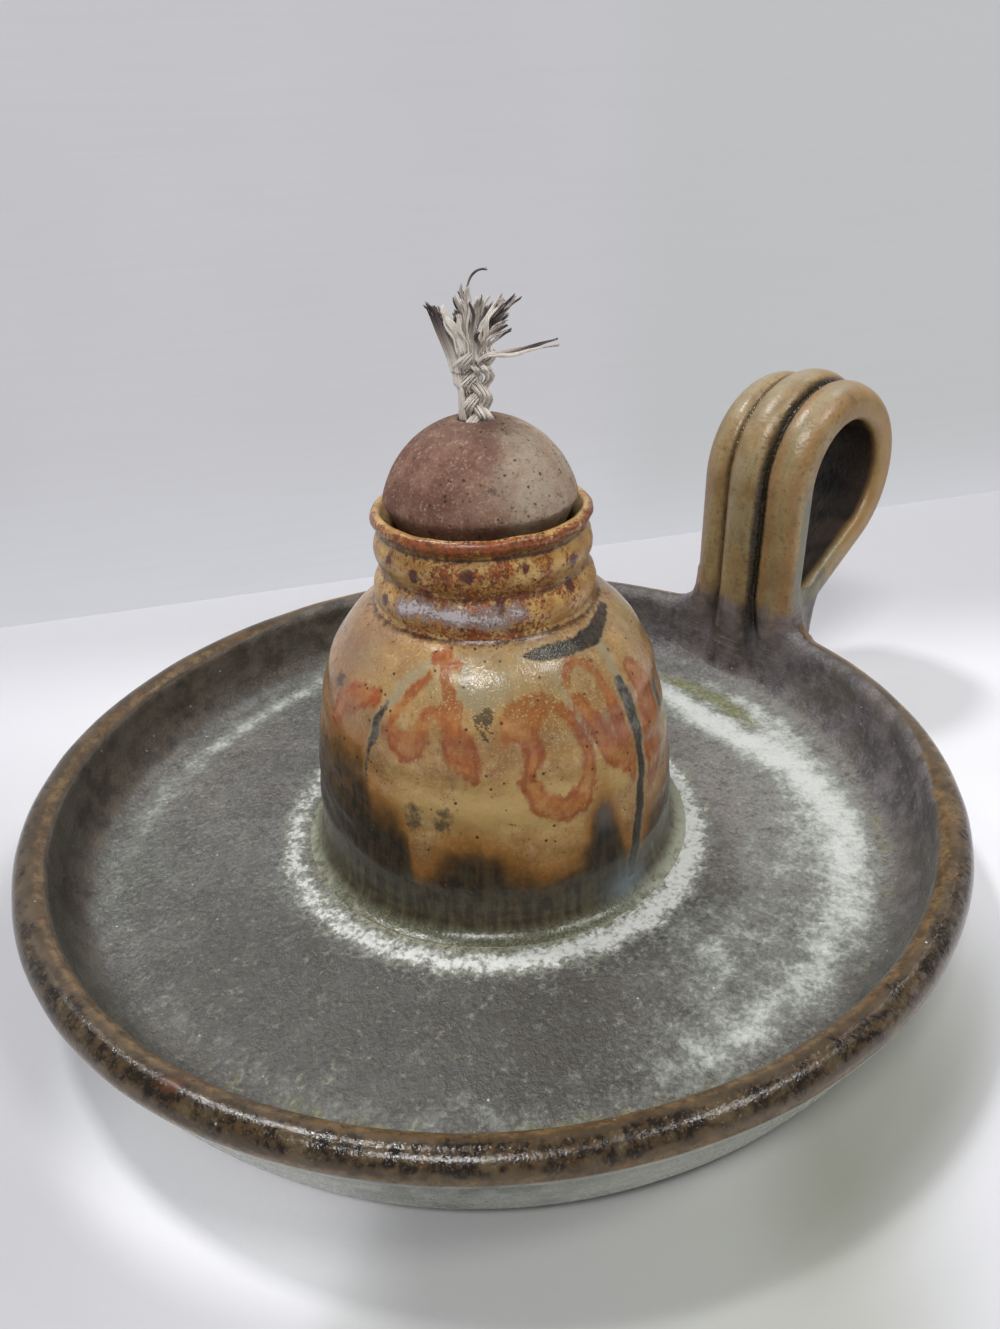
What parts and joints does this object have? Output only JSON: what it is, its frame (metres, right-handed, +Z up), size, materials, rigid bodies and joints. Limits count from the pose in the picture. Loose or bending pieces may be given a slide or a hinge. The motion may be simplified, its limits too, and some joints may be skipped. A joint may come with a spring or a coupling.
{
  "type": "chamberstick oil lamp",
  "caption": "Wheel-thrown stoneware lamp on a saucer with a strap handle, an oil reservoir, a lift-out stopper and a plaited wick.",
  "frame": {"origin": "middle of the flat foot, on the table", "axes": "+X towards the handle, +Z up, away from the table"},
  "size_m": [0.1992, 0.165, 0.1036],
  "materials": {
    "dish_glaze": "mottled grey-green satin glaze, brown where it breaks over the rim",
    "reservoir_glaze": "glossy amber glaze with rust brush marks over a dark band",
    "handle_glaze": "glossy tan glaze, dark in the grooves",
    "stopper_clay": "bare fired stoneware, matt",
    "wick_yarn": "plaited off-white yarn",
    "wick_yarn_frayed": "loose yarn ends, singed grey at the tips"
  },
  "bodies": {
    "lamp": {"dish": "dish_glaze", "reservoir": "reservoir_glaze", "handle": "handle_glaze"},
    "stopper": {"stopper": "stopper_clay"},
    "wick": {"wick_tail": "wick_yarn", "wick_braid": "wick_yarn", "wick_tuft": "wick_yarn_frayed"}
  },
  "joints": [
    {"name": "stopper_lift", "type": "slide", "parent": "lamp", "child": "stopper", "axis": [0, 0, 1], "range_m": [0, 0.06]},
    {"name": "wick_feed", "type": "slide", "parent": "stopper", "child": "wick", "axis": [0, 0, 1], "range_m": [-0.004, 0.01]}
  ]
}
